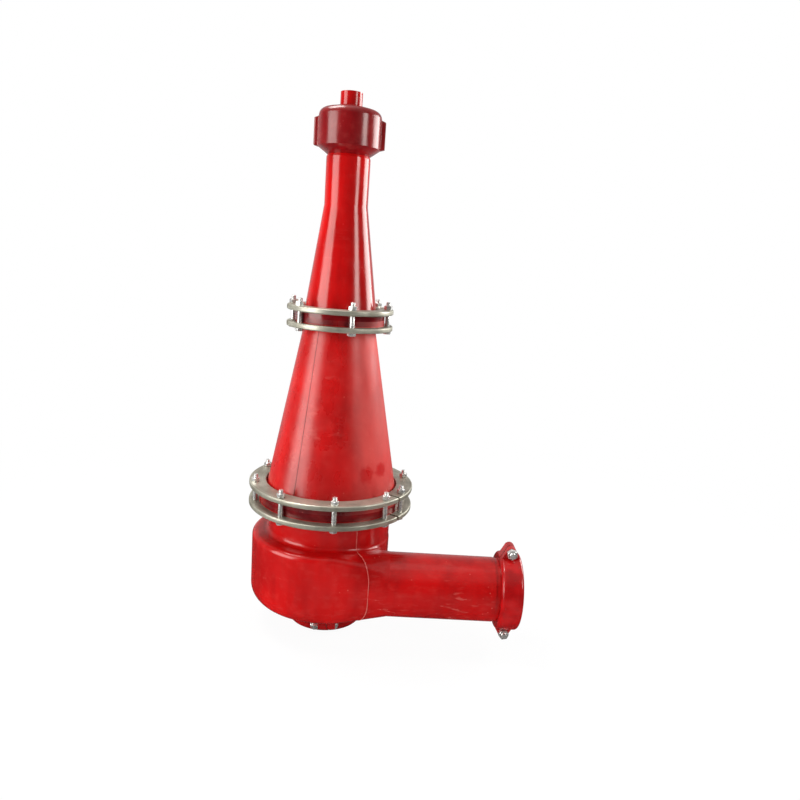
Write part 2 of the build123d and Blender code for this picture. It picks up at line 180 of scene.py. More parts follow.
class Board:
    """A material's node tree, with short calls for the nodes that the finishes share."""

    def __init__(self, name: str) -> None:
        """Starts a material with a shader, an output and the object's own coordinates.

        Args:
            name: The material's name.
        """
        self.material = bpy.data.materials.new(name)
        self.material.use_nodes = True
        self.tree = self.material.node_tree
        self.tree.nodes.clear()
        self.shader = self.add("ShaderNodeBsdfPrincipled")
        self.place = self.add("ShaderNodeTexCoord").outputs["Object"]
        self.tree.links.new(self.shader.outputs[0], self.add("ShaderNodeOutputMaterial").inputs[0])

    def add(self, kind: str, **settings: object) -> bpy.types.Node:
        """Adds a node of a kind and sets its properties.

        Args:
            kind: The node's type.
            settings: The node's properties, by name.

        Returns:
            The new node.
        """
        node = self.tree.nodes.new(kind)
        for key, value in settings.items():
            setattr(node, key, value)
        return node

    def feed(self, socket: Socket, value: object) -> None:
        """Links a socket to another, or sets its own number or colour.

        Args:
            socket: The socket to fill.
            value: Another socket, a number or a colour.
        """
        if isinstance(value, Socket):
            self.tree.links.new(value, socket)
        elif isinstance(value, tuple) and socket.type == "RGBA":
            socket.default_value = (*value, 1.0)
        else:
            socket.default_value = value

    def math(self, operation: str, first: object, second: object = 0.0) -> Socket:
        """Works out one operation on two numbers.

        Args:
            operation: The operation's name.
            first: The first number or socket.
            second: The second one, where the operation takes two.

        Returns:
            The result.
        """
        node = self.add("ShaderNodeMath", operation=operation)
        self.feed(node.inputs[0], first)
        self.feed(node.inputs[1], second)
        return node.outputs[0]

    def product(self, *factors: object) -> Socket:
        """Multiplies numbers together, from the left.

        Args:
            factors: Numbers or sockets.

        Returns:
            The product.
        """
        result, *rest = factors
        for factor in rest:
            result = self.math("MULTIPLY", result, factor)
        return result

    def weighed(self, first: Socket, second: Socket, share: float) -> Socket:
        """Adds two numbers, the first by a share and the second by the rest."""
        return self.math("ADD", self.product(first, share), self.product(second, 1 - share))

    def ramp(
        self, value: Socket, low: float, high: float, bottom: float = 0.0, top: float = 1.0
    ) -> Socket:
        """Carries a number from one range to another along a smooth step.

        Args:
            value: The number to carry over.
            low: Where its range starts.
            high: Where its range ends.
            bottom: What the start becomes.
            top: What the end becomes.

        Returns:
            The number in its new range.
        """
        node = self.add("ShaderNodeMapRange", interpolation_type="SMOOTHSTEP")
        for socket, number in zip(node.inputs, (value, low, high, bottom, top)):
            self.feed(socket, number)
        return node.outputs[0]

    def mix(self, share: object, first: object, second: object) -> Socket:
        """Mixes two colours by a share.

        Args:
            share: How much of the second colour shows, from 0 to 1.
            first: The first colour.
            second: The second colour.

        Returns:
            The mixed colour.
        """
        node = self.add("ShaderNodeMix", data_type="RGBA")
        self.feed(node.inputs[0], share)
        self.feed(node.inputs[6], first)
        self.feed(node.inputs[7], second)
        return node.outputs[2]

    def noise(
        self, scale: float, detail: float = 3.0, stretch: Point = (1, 1, 1), shift: float = 0.0
    ) -> Socket:
        """Gives cloudy noise, with so many clouds to a metre and its axes stretched.

        Args:
            scale: How many clouds there are to a metre.
            detail: How many finer layers lie over them.
            stretch: What each coordinate is multiplied by.
            shift: How far the pattern is moved along each axis.

        Returns:
            The noise, from 0 to 1.
        """
        mapping = self.add("ShaderNodeMapping")
        mapping.inputs["Scale"].default_value = stretch
        mapping.inputs["Location"].default_value = (shift, shift, shift)
        self.feed(mapping.inputs["Vector"], self.place)
        node = self.add("ShaderNodeTexNoise")
        self.feed(node.inputs["Vector"], mapping.outputs[0])
        node.inputs["Scale"].default_value = scale
        node.inputs["Detail"].default_value = detail
        return node.outputs[0]

    def specks(self, scale: float, size: float) -> Socket:
        """Gives small round specks, with so many cells to a metre, each a share of its cell.

        Args:
            scale: How many cells there are to a metre.
            size: A speck's radius, as a share of its cell.

        Returns:
            1 in a speck, and 0 outside.
        """
        node = self.add("ShaderNodeTexVoronoi")
        self.feed(node.inputs["Vector"], self.place)
        node.inputs["Scale"].default_value = scale
        return self.ramp(node.outputs["Distance"], size * 0.6, size, 1.0, 0.0)

    def axes(self) -> tuple[Socket, Socket, Socket]:
        """Gives the three coordinates of a point.

        Returns:
            X, Y and Z, in metres.
        """
        node = self.add("ShaderNodeSeparateXYZ")
        self.feed(node.inputs[0], self.place)
        return node.outputs[0], node.outputs[1], node.outputs[2]

    def reach(self) -> Socket:
        """Gives a point's distance from the cyclone's axis: the root of X squared plus Y squared."""
        x, y, _ = self.axes()
        return self.math("SQRT", self.math("ADD", self.product(x, x), self.product(y, y)))

    def near(self, centre: Point, reach: float, soft: float) -> Socket:
        """Gives 1 near a point and 0 beyond its reach, with a soft and slightly ragged rim.

        Args:
            centre: The point, in metres.
            reach: How far the spot goes, in metres.
            soft: How wide its rim is.

        Returns:
            The spot's share.
        """
        node = self.add("ShaderNodeVectorMath", operation="DISTANCE")
        self.feed(node.inputs[0], self.place)
        node.inputs[1].default_value = centre
        ragged = self.math("MULTIPLY_ADD", self.noise(70.0, 2.0), reach)
        self.feed(ragged.node.inputs[2], node.outputs["Value"])
        return self.ramp(ragged, 1.5 * reach - soft, 1.5 * reach, 1.0, 0.0)

    def bump(self, height: Socket, strength: float, depth: float, under: Socket | None = None) -> Socket:
        """Turns a height into a bump of so many metres, over another bump if there is one.

        Args:
            height: The height, from 0 to 1.
            strength: How strongly the bump shows.
            depth: What a height of 1 stands for, in metres.
            under: The bump below, if any.

        Returns:
            The bumped normal.
        """
        node = self.add("ShaderNodeBump")
        node.inputs["Strength"].default_value = strength
        node.inputs["Distance"].default_value = depth
        self.feed(node.inputs["Height"], height)
        if under is not None:
            self.feed(node.inputs["Normal"], under)
        return node.outputs[0]

    def set(self, **sockets: object) -> None:
        """Sets or links the shader's sockets, named with underscores for spaces."""
        for key, value in sockets.items():
            self.feed(self.shader.inputs[key.replace("_", " ")], value)


@dataclass(frozen=True)
class PaintedShadeBand:
    """Painted shade on a flange between two clamp rings, where the upper ring shades it: two heights and
    the least radius, in metres.
    """

    low: float
    high: float
    radius: float
    edge: float = 0.003

    def share(self, board: Board) -> Socket:
        """Gives the painted shade's share: cloudy, between the two heights and beyond the radius.

        Args:
            board: The material's board.

        Returns:
            The share, from 0 to 1.
        """
        height = board.axes()[2]
        above = board.ramp(height, self.low, self.low + self.edge)
        below = board.ramp(height, self.high - self.edge, self.high, 1.0, 0.0)
        cloud = board.ramp(board.noise(12.0, 3.0, (1, 1, 1), 9.0), 0.30, 0.62, 0.45, 0.95)
        outside = board.ramp(board.reach(), self.radius, self.radius + 0.004)
        return board.product(above, below, cloud, outside)


@dataclass(frozen=True)
class MouldedRed:
    """Red polyurethane as it leaves the mould: glossy, a little uneven, with specks and scuffs."""

    name: str
    deep: Colour = (0.33, 0.0016, 0.0020)
    clear: Colour = (0.52, 0.0028, 0.0030)
    pale: Colour = (0.72, 0.16, 0.13)
    gloss: tuple[float, float] = (0.16, 0.24)
    wave: float = 0.16
    scuffs: float = 0.25
    specks: float = 0.35
    mottle: float = 0.06
    shade_bands: tuple[PaintedShadeBand, ...] = ()
    # Painted shade: the colour that darkens each flange band between two clamp rings.
    painted_shade: Colour = (0.10, 0.002, 0.005)

    def material(self) -> Material:
        """Builds the material: two reds in clouds and streaks, painted shade between clamp rings, pale
        marks and soft waves.

        Returns:
            The new material.
        """
        board = Board(self.name)
        clouds = board.noise(7.0, 4.0)
        streaks = board.noise(26.0, 3.0, (1, 1, 0.12), 3.0)
        blend = board.weighed(clouds, streaks, 0.65)
        colour = board.mix(board.ramp(blend, 0.34, 0.66), self.deep, self.clear)
        # Painted shade: each band darkens the flange between two clamp rings.
        for band in self.shade_bands:
            colour = board.mix(band.share(board), colour, self.painted_shade)
        patches = board.ramp(board.noise(60.0, 5.0, (0.6, 1, 1), 4.0), 0.46, 0.74)
        colour = board.mix(board.product(patches, self.mottle), colour, self.pale)
        rubbed = board.ramp(board.noise(5.0, 5.0, (1, 1, 1), 7.0), 0.50, 0.68)
        lines = board.ramp(board.noise(70.0, 4.0, (0.35, 1, 1.2), 5.0), 0.56, 0.70)
        scuff = board.product(rubbed, lines, self.scuffs)
        colour = board.mix(scuff, colour, self.pale)
        spotted = board.ramp(board.noise(17.0, 2.0), 0.58, 0.66)
        spots = board.product(board.specks(75.0, 0.17), spotted, self.specks)
        colour = board.mix(spots, colour, self.pale)
        rough = board.ramp(board.noise(34.0, 4.0, (1, 1, 0.5), 2.0), 0.3, 0.7, *self.gloss)
        rough = board.math("ADD", rough, board.product(scuff, 0.5))
        colour, rough = self.weathered(board, colour, rough)
        waves = board.bump(board.noise(11.0, 2.0), self.wave, 0.006)
        grain = board.bump(board.noise(420.0, 2.0), 0.06, 0.0006, waves)
        board.set(Base_Color=colour, Roughness=rough, Normal=grain)
        board.set(Specular_IOR_Level=0.5, Specular_Tint=(1.0, 0.95, 0.9))
        return board.material

    def weathered(self, board: Board, colour: Socket, rough: Socket) -> tuple[Socket, Socket]:
        """Leaves the colour and the roughness of a clean piece as they are."""
        return colour, rough


@dataclass(frozen=True)
class DustyRed(MouldedRed):
    """The same red with dry dust on one side, wiped clean in a few spots."""

    dust: float = 0.42
    dulling: float = 0.7
    film: Colour = (0.80, 0.075, 0.055)
    middle: float = radians(-30.0)
    spread: float = radians(50.0)
    wiped: tuple[tuple[Point, float], ...] = ()

    def weathered(self, board: Board, colour: Socket, rough: Socket) -> tuple[Socket, Socket]:
        """Lays the dust on: strongest round one direction from the axis, cloudy, and off where wiped.

        Args:
            board: The material's board.
            colour: The clean colour.
            rough: The clean roughness.

        Returns:
            The dusty colour and roughness.
        """
        x, y, _ = board.axes()
        turn = board.math("SUBTRACT", board.math("ARCTAN2", y, x), self.middle)
        side = board.ramp(board.math("ABSOLUTE", turn), self.spread * 0.35, self.spread, 1.0, 0.0)
        cloud = board.ramp(board.noise(15.0, 6.0, (1, 1, 0.35), 11.0), 0.30, 0.72, 0.45, 1.0)
        haze = board.product(side, cloud, self.dust)
        for centre, reach in self.wiped:
            kept = board.math("SUBTRACT", 1.0, board.near(centre, reach, reach * 0.5))
            haze = board.product(haze, kept)
        dull = board.math("ADD", rough, board.product(haze, self.dulling))
        return board.mix(haze, colour, self.film), dull


@dataclass(frozen=True)
class BrushedSteel:
    """Stainless plate, polished in circles round the axis and dulled by handling."""

    name: str = "brushed_steel"
    dark: Colour = (0.25, 0.235, 0.18)
    bright: Colour = (0.56, 0.54, 0.44)

    def material(self) -> Material:
        """Builds the material: fine lines round the axis, under cloudy stains.

        Returns:
            The new material.
        """
        board = Board(self.name)
        lines = board.add("ShaderNodeTexNoise", noise_dimensions="2D")
        pair = board.add("ShaderNodeCombineXYZ")
        board.feed(pair.inputs[0], board.product(board.reach(), 900.0))
        board.feed(pair.inputs[1], board.product(board.axes()[2], 700.0))
        board.feed(lines.inputs["Vector"], pair.outputs[0])
        lines.inputs["Scale"].default_value = 1.0
        shade = board.weighed(lines.outputs[0], board.noise(16.0, 5.0), 0.35)
        colour = board.mix(board.ramp(shade, 0.32, 0.68), self.dark, self.bright)
        rough = board.ramp(shade, 0.3, 0.7, 0.50, 0.34)
        board.set(Base_Color=colour, Roughness=rough, Normal=board.bump(lines.outputs[0], 0.08, 0.0004))
        board.set(Metallic=0.62)
        return board.material


@dataclass(frozen=True)
class PlatedSteel:
    """Zinc-plated steel of bolts and nuts, with dull spots."""

    name: str = "plated_steel"
    dark: Colour = (0.50, 0.49, 0.46)
    bright: Colour = (0.80, 0.79, 0.76)

    def material(self) -> Material:
        """Builds the material: bright and dull patches, a few millimetres wide.

        Returns:
            The new material.
        """
        board = Board(self.name)
        patches = board.noise(90.0, 3.0)
        colour = board.mix(board.ramp(patches, 0.22, 0.62), self.dark, self.bright)
        rough = board.ramp(patches, 0.3, 0.7, 0.32, 0.18)
        grain = board.bump(board.noise(600.0), 0.08, 0.0003)
        board.set(Base_Color=colour, Roughness=rough, Normal=grain)
        board.set(Metallic=0.7)
        return board.material


@dataclass(frozen=True)
class CastPaint:
    """Red paint over a sand-cast surface, with chips at random spots."""

    name: str = "coupling_paint"
    deep: Colour = (0.30, 0.002, 0.003)
    clear: Colour = (0.46, 0.004, 0.005)
    chip: Colour = (0.20, 0.06, 0.05)

    def material(self) -> Material:
        """Builds the material: cloudy red, small dark chips and the casting's coarse grain.

        Returns:
            The new material.
        """
        board = Board(self.name)
        clouds = board.noise(22.0, 4.0)
        colour = board.mix(board.ramp(clouds, 0.32, 0.66), self.deep, self.clear)
        chipped = board.ramp(board.noise(31.0, 2.0), 0.60, 0.66)
        chips = board.product(board.specks(130.0, 0.20), chipped, 0.7)
        colour = board.mix(chips, colour, self.chip)
        rough = board.ramp(board.noise(48.0, 3.0), 0.3, 0.7, 0.16, 0.27)
        cast = board.bump(board.noise(95.0, 3.0), 0.12, 0.0025)
        grain = board.bump(board.noise(480.0, 2.0), 0.10, 0.0006, cast)
        board.set(Base_Color=colour, Roughness=rough, Normal=grain)
        board.set(Specular_IOR_Level=0.5, Specular_Tint=(1.0, 0.93, 0.9))
        return board.material


@dataclass(frozen=True)
class Rubber:
    """Black seal rubber with a dusty bloom."""

    name: str = "gasket_rubber"
    dark: Colour = (0.012, 0.012, 0.012)
    bloom: Colour = (0.05, 0.048, 0.045)

    def material(self) -> Material:
        """Builds the material: near-black with a cloudy grey bloom and a fine grain.

        Returns:
            The new material.
        """
        board = Board(self.name)
        cloud = board.noise(40.0, 4.0)
        colour = board.mix(board.ramp(cloud, 0.40, 0.70), self.dark, self.bloom)
        rough = board.ramp(cloud, 0.3, 0.7, 0.5, 0.75)
        board.set(Base_Color=colour, Roughness=rough, Normal=board.bump(board.noise(700.0), 0.1, 0.0004))
        return board.material


# Fasteners


class Head(Enum):
    """The two kinds of bolt head."""

    HEXAGON = "hexagon"
    BUTTON = "button"


@dataclass(frozen=True)
class Fastener:
    """A bolt and its nut, drawn along Z with the head's seat at zero."""

    diameter: float
    pitch: float
    flats: float
    head: Head
    head_width: float
    head_height: float
    nut_height: float
    tip: float
    columns: int = 48
    cone_angle: float = 30.0
    face_share: float = 0.95
    thread_depth: float = 0.55
    thread_margin: float = 1.0
    point_break: float = 1.2
    bore_gap: float = 0.1
    bore_break: float = 0.8

    def around(self) -> np.ndarray:
        """Gives the angles of one loop."""
        return np.arange(self.columns) * (2 * pi / self.columns)

    def hexagon(self) -> np.ndarray:
        """Gives a hexagon's radius by angle: half its width over the cosine from the nearest flat."""
        from_flat = (self.around() % (pi / 3)) - pi / 6
        return self.flats / 2 / np.cos(from_flat)

    def chamfered(self, depth: np.ndarray) -> np.ndarray:
        """Cuts the hexagon by a shallow cone, at depths below its face."""
        cone = self.face_share * self.flats / 2 + depth[:, None] / tan(radians(self.cone_angle))
        return np.minimum(self.hexagon()[None], cone)

    def head_rows(self) -> tuple[np.ndarray, np.ndarray]:
        """Draws the head from its outer pole to its seat.

        A hexagon's radius is cut by a shallow cone from its outer face. A button's is a quarter
        ellipse.

        Returns:
            Radii as rows x columns, and the height of each row.
        """
        if self.head is Head.HEXAGON:
            depth = self.head_height * np.array([0.0, 0.0, 0.0, 0.1, 0.2, 0.3, 0.6, 1.0, 1.0])
            radii = self.chamfered(depth)
            radii[0] = 0.0
            radii[1] = 0.5 * self.flats / 2
            radii[-1] = self.diameter / 2
        else:
            turn = np.linspace(0.0, pi / 2, 9)
            depth = np.append(self.head_height * (1 - np.cos(turn)), self.head_height)
            radii = np.append(self.head_width / 2 * np.sin(turn), self.diameter / 2)[:, None]
            radii = np.broadcast_to(radii, (len(depth), self.columns)).copy()
        return radii, depth - self.head_height

    def bolt(self, grip: float) -> np.ndarray:
        """Draws the whole bolt: head, smooth shank, and a thread from the nut to the tip.

        The thread's radius falls and rises once per pitch along a helix: the bolt's own radius
        less a depth times a triangle wave of height over pitch less angle over a full turn.

        Args:
            grip: The distance from the head's seat to the nut's.

        Returns:
            Points as loops x points of a loop x 3, in millimetres.
        """
        radius = self.diameter / 2
        head_radii, head_heights = self.head_rows()
        start = grip + self.nut_height - self.thread_margin
        end = grip + self.nut_height + self.tip
        heights = np.arange(start, end - self.thread_margin, self.pitch / 6)
        phase = (heights[:, None] / self.pitch - self.around()[None] / (2 * pi)) % 1.0
        fade = np.clip((heights - start) / self.pitch, 0.0, 1.0)[:, None]
        thread = radius - self.thread_depth * self.pitch * fade * (1 - np.abs(2 * phase - 1))
        last = thread[-1:]
        shank = np.full((1, self.columns), radius)
        point = np.minimum(last, radius - self.point_break)
        radii = np.concatenate([head_radii, shank, thread, point, 0 * last])
        levels = np.concatenate([head_heights, [start], heights, [end, end]])
        return self.turned(radii, levels)

    def nut(self, grip: float) -> np.ndarray:
        """Draws the nut: a hexagon cut by a shallow cone at both faces, round a bore.

        Args:
            grip: The height of the nut's seat.

        Returns:
            Points as loops x points of a loop x 3, in millimetres; the last loop joins the first.
        """
        share = np.array([0.0, 0.06, 0.12, 0.2, 0.5, 0.8, 0.88, 0.94, 1.0])
        depth = self.nut_height * np.minimum(share, 1 - share)
        side = self.chamfered(depth)
        bore = self.diameter / 2 + self.bore_gap
        rim = np.full((1, self.columns), bore + self.bore_break)
        inside = np.full((2, self.columns), bore)
        radii = np.concatenate([side, rim, inside, rim])
        top = self.nut_height
        levels = np.concatenate([share * top, [top, top - self.bore_break, self.bore_break, 0.0]])
        return self.turned(radii, levels + grip)

    def turned(self, radii: np.ndarray, levels: np.ndarray) -> np.ndarray:
        """Turns radii by angle and row into points: radius times cosine, radius times sine, height.

        Args:
            radii: Radii as rows x columns.
            levels: The height of each row.

        Returns:
            Points as rows x columns x 3, in millimetres.
        """
        angle = self.around()[None]
        height = np.broadcast_to(levels[:, None], radii.shape)
        return np.stack([radii * np.cos(angle), radii * np.sin(angle), height], -1)


def placed(points: np.ndarray, seats: np.ndarray, turns: np.ndarray, axes: np.ndarray) -> np.ndarray:
    """Sets copies of a drawn fastener on their seats.

    Args:
        points: Loops x points x 3, in millimetres, along Z.
        seats: Copies x 3, where each origin goes, in millimetres.
        turns: How far each copy is turned about its own axis, in radians.
        axes: The three directions of the fastener's X, Y and Z, as rows.

    Returns:
        Copies x loops x points x 3, in metres.
    """
    c, s = np.cos(turns), np.sin(turns)
    spin = np.zeros((len(turns), 3, 3))
    spin[:, 0, 0], spin[:, 0, 1] = c, s
    spin[:, 1, 0], spin[:, 1, 1] = -s, c
    spin[:, 2, 2] = 1.0
    return (np.einsum("rck,nkj->nrcj", points, spin @ axes) + seats[:, None, None, :]) * MM


def fastener_sets(name: str, bolts: np.ndarray, nuts: np.ndarray) -> list[Object]:
    """Makes a joint's bolts and its nuts, in place of its plain ones.

    Args:
        name: The joint's name.
        bolts: The placed bolts, as copies x loops x points x 3, in metres.
        nuts: The placed nuts, in the same way.

    Returns:
        The two new pieces.
    """
    bolt_set = closed_piece(f"{name}_bolt_set", bolts)
    nut_set = closed_piece(f"{name}_nut_set", nuts, close_rows=True)
    for piece, node in ((bolt_set, f"{name}_bolts"), (nut_set, f"{name}_nuts")):
        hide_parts(node)
    return [bolt_set, nut_set]


# Sub-assemblies


@dataclass
class ClampJoint:
    """A flanged joint: two split rings of rolled plate, with bolts and nuts round them."""

    name: str
    lower_z: float
    grip: float
    bore: float
    rim: float
    bolt_radius: float
    bolts_per_half: int
    spread: float
    half_angle: float
    seed: int
    plate: float = 13.0
    rounding: float = 3.2
    split: float = 8.0
    corner_points: int = 6
    turn_points: int = 121
    fastener: Fastener = Fastener(
        diameter=12.0, pitch=1.75, flats=19.0, head=Head.HEXAGON, head_width=19.0,
        head_height=7.5, nut_height=10.8, tip=9.0,
    )

    def seats(self) -> np.ndarray:
        """Gives the bolts' places: even steps over each half, at one radius.

        Returns:
            Points as bolts x 3, in millimetres.
        """
        steps = np.linspace(-self.spread / 2, self.spread / 2, self.bolts_per_half)
        angles = np.radians(np.concatenate([steps + self.half_angle, steps + self.half_angle + 180.0]))
        out, level = self.bolt_radius, np.full_like(angles, self.lower_z)
        return np.stack([out * np.cos(angles), out * np.sin(angles), level], -1)

    def half(self, level: float, middle: float) -> np.ndarray:
        """Carries the plate's rounded section round half a turn.

        A point of the section at a distance r from the axis runs from minus to plus the angle
        whose cosine is half the split over r, so that both ends lie flat along the split.

        Args:
            level: The height of the plate's underside, in millimetres.
            middle: The direction of the half's middle, in degrees.

        Returns:
            Points as loops x points of a loop x 3, in millimetres, with a pole at each end.
        """
        quarter = np.repeat(np.arange(4), self.corner_points)
        corner = quarter * pi / 2 + np.tile(np.linspace(0.0, pi / 2, self.corner_points), 4)
        outer = (quarter == 0) | (quarter == 3)
        across = np.where(outer, self.rim - self.rounding, self.bore + self.rounding)
        upward = np.where(quarter < 2, self.plate - self.rounding, self.rounding)
        radius = across + self.rounding * np.cos(corner)
        height = level + upward + self.rounding * np.sin(corner)
        half_turn = np.arccos(self.split / 2 / radius)
        along = np.linspace(-1.0, 1.0, self.turn_points)[:, None]
        turn = radians(middle) + along * half_turn[None]
        tall = np.broadcast_to(height, turn.shape)
        return capped(np.stack([radius * np.cos(turn), radius * np.sin(turn), tall], -1))

    def rings(self) -> list[Object]:
        """Makes the four plate halves, with the edges broken as on rolled and polished plate.

        Returns:
            The four new pieces.
        """
        halves = []
        for tier, level in (("lower", self.lower_z), ("upper", self.lower_z + self.grip - self.plate)):
            for side, middle in (("front", self.half_angle), ("rear", self.half_angle + 180.0)):
                node = f"{self.name}_{tier}_{side}"
                piece = closed_piece(f"{node}_plate", self.half(level, middle)[None] * MM, sharp=50.0)
                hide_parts(node)
                halves.append(piece)
        return halves

    def fasteners(self) -> list[Object]:
        """Makes the bolts and the nuts, each turned as it happened to stop.

        Returns:
            The set of bolts and the set of nuts.
        """
        seats = self.seats()
        draw = np.random.default_rng(self.seed)
        bolt, nut = self.fastener.bolt(self.grip), self.fastener.nut(self.grip)
        bolts = placed(bolt, seats, draw.uniform(0, pi / 3, len(seats)), np.eye(3))
        nuts = placed(nut, seats, draw.uniform(0, pi / 3, len(seats)), np.eye(3))
        return fastener_sets(self.name, bolts, nuts)

    def build(self, plate: Material, bolt: Material) -> list[Object]:
        """Makes the rings in brushed plate, and the fasteners in plated steel.

        Args:
            plate: The rings' finish.
            bolt: The fasteners' finish.

        Returns:
            The six new pieces.
        """
        rings, fasteners = self.rings(), self.fasteners()
        for piece in rings:
            dress(piece, plate)
        for piece in fasteners:
            dress(piece, bolt)
        return rings + fasteners


@dataclass
class Coupling:
    """A grooved coupling: two cast halves over a rubber ring, with two bolts through their ears."""

    name: str
    halves: tuple[str, str]
    centre: Point
    ears: Point
    nut_side: Point
    bolt_centre: float = 114.0
    ear_thickness: float = 23.0
    nut_turns: tuple[float, float] = (12.0, 41.0)
    fastener: Fastener = Fastener(
        diameter=16.0, pitch=2.0, flats=24.0, head=Head.BUTTON, head_width=27.0,
        head_height=9.0, nut_height=14.0, tip=6.0,
    )

    def build(self) -> list[Object]:
        """Makes the two bolts, heads behind the far ears, and their nuts.

        Returns:
            The set of bolts and the set of nuts.
        """
        ears, along = np.array(self.ears), np.array(self.nut_side)
        axes = np.stack([ears, np.cross(along, ears), along])
        seats = np.array(self.centre) + np.outer([self.bolt_centre, -self.bolt_centre], ears)
        seats = seats - self.ear_thickness * along
        grip = 2 * self.ear_thickness
        turns = np.radians(self.nut_turns)
        bolts = placed(self.fastener.bolt(grip), seats, turns, axes)
        nuts = placed(self.fastener.nut(grip), seats, turns, axes)
        return fastener_sets(self.name, bolts, nuts)

    def dress(
        self, pieces: list[Object], paint: Material, rubber: Material, bolt: Material
    ) -> None:
        """Paints the halves, and gives the rubber ring and the fasteners their finishes.

        Args:
            pieces: The set of bolts and the set of nuts.
            paint: The halves' finish.
            rubber: The rubber ring's finish.
            bolt: The fasteners' finish.
        """
        for half in self.halves:
            dress(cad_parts[f"{self.name}_{half}"], paint)
        dress(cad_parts[f"{self.name}_gasket"], rubber)
        for piece in pieces:
            dress(piece, bolt)


@dataclass
class FeedChamber:
    """The moulded chamber, with the cove at its neck and the mould's seam down its front."""

    neck_radius: float = 165.5
    neck_top: float = 338.5
    spout_start: float = 30.0
    spout_length: float = 140.0
    feed_radius: float = 84.0
    feed_y: float = -130.0
    feed_z: float = 166.0
    half_height: float = 98.0
    top_rounding: float = 15.0
    bottom_rounding: float = 44.0
    flat_turn: float = 20.0
    cove: float = 13.0
    cove_start: float = -97.0
    cove_end: float = -19.0
    sink: float = 2.0
    seam_angle: float = -61.0
    seam_width: float = 3.2
    seam_height: float = 0.9
    seam_sink: float = 0.15
    seam_root: float = 1.2

    def spout_edge(self, share: np.ndarray, upper: bool) -> tuple[np.ndarray, ...]:
        """Follows the spout's section from its rear flank to its front, over the top or underneath.

        The section where the spout leaves the scroll is a rounded rectangle; where it meets the
        pipe it is a circle. Each is a corner, a flat and a corner, and the share is 0 to 3.

        Args:
            share: Places along the edge, from 0 at the rear to 3 at the front.
            upper: Whether the edge runs over the top.

        Returns:
            The Y and Z offsets from the pipe's axis at the scroll, then the same at the pipe.
        """
        rounding = self.top_rounding if upper else self.bottom_rounding
        reach = self.feed_radius - rounding
        level = self.half_height - rounding
        first = np.clip(share, 0, 1)
        middle = np.clip(share - 1, 0, 1)
        last = np.clip(share - 2, 0, 1)
        turn = (first + last) * pi / 2
        scroll_y = reach * (1 - 2 * middle) + rounding * np.cos(turn)
        scroll_z = level + rounding * np.sin(turn)
        half_flat = radians(self.flat_turn / 2)
        corner = pi / 2 - 2 * half_flat
        pipe_turn = half_flat + corner * (first + last) + 2 * half_flat * middle
        pipe_y = self.feed_radius * np.cos(pipe_turn)
        pipe_z = self.feed_radius * np.sin(pipe_turn)
        sign = 1.0 if upper else -1.0
        return scroll_y, sign * scroll_z, pipe_y, sign * pipe_z

    def spout_height(self, x: np.ndarray, y: np.ndarray, upper: bool = True) -> np.ndarray:
        """Finds the spout's height over a place, by halving the range of the share forty times.

        Args:
            x: Distances along the pipe, in millimetres.
            y: Distances across it.
            upper: Whether the top of the spout is meant, and not its underside.

        Returns:
            The heights, in millimetres.
        """
        along = np.clip((x - self.spout_start) / self.spout_length, 0.0, 1.0)
        low, high = np.zeros_like(x), np.full_like(x, 3.0)
        for _ in range(40):
            middle = (low + high) / 2
            scroll_y, scroll_z, pipe_y, pipe_z = self.spout_edge(middle, upper)
            across = self.feed_y + scroll_y + along * (pipe_y - scroll_y)
            low = np.where(across > y, middle, low)
            high = np.where(across > y, high, middle)
        return self.feed_z + scroll_z + along * (pipe_z - scroll_z)

    def neck_cove(self) -> Object:
        """Makes the rounded corner between the neck and the spout.

        At each angle the section is a parabola that leaves the neck's wall upright and lands on
        the spout along its slope; it closes through a point inside the wall.

        Returns:
            The new piece.
        """
        angle = np.radians(np.linspace(self.cove_start, self.cove_end, 90))
        side = np.stack([np.cos(angle), np.sin(angle)], -1)
        foot = self.spout_height(*(self.neck_radius * side).T)
        land = self.spout_height(*((self.neck_radius + self.cove) * side).T)
        foot, land, head = foot[:, None], land[:, None], foot[:, None] + self.cove
        t = np.linspace(0.0, 1.0, 14)[None]
        radius = self.neck_radius + self.cove * t**2
        rise = (1 - t) ** 2 * head + 2 * t * (1 - t) * foot + t**2 * land
        outer = np.full((len(angle), 1), self.neck_radius + self.cove)
        inner = np.full((len(angle), 1), self.neck_radius - self.sink)
        radius = np.concatenate([np.broadcast_to(radius, rise.shape), outer, inner, inner], 1)
        rise = np.concatenate([rise, land - self.sink, foot - self.sink, head], 1)
        loops = np.stack([radius * side[:, :1], radius * side[:, 1:], rise], -1)
        return closed_piece("neck_cove", capped(loops)[None] * MM)

    def seam_path(self) -> np.ndarray:
        """Finds the seam in the half plane of its angle: down the neck, over the spout, down its front.

        Returns:
            Points of distance from the axis and height, in millimetres.
        """
        turn = radians(self.seam_angle)
        foot_r = self.neck_radius
        start = self.spout_height(np.array([foot_r * cos(turn)]), np.array([foot_r * sin(turn)]))[0]
        land_r = foot_r + self.cove
        land = self.spout_height(np.array([land_r * cos(turn)]), np.array([land_r * sin(turn)]))[0]
        head = start + self.cove
        wall = np.stack([np.full(24, foot_r), np.linspace(self.neck_top, head + 2.0, 24)], -1)
        t = np.linspace(0.0, 1.0, 12)[:, None]
        high, corner, low = np.array([(foot_r, head), (foot_r, start), (land_r, land)])
        bend = (1 - t) ** 2 * high + 2 * t * (1 - t) * corner + t**2 * low
        over = self.flank(np.linspace(1.0, 3.0, 90), True, turn)
        over = over[over[:, 0] > land_r + 2.0]
        under = self.flank(np.linspace(3.0, 1.6, 90), False, turn)
        return np.concatenate([wall, bend, over, under[under[:, 0] > 120.0]])

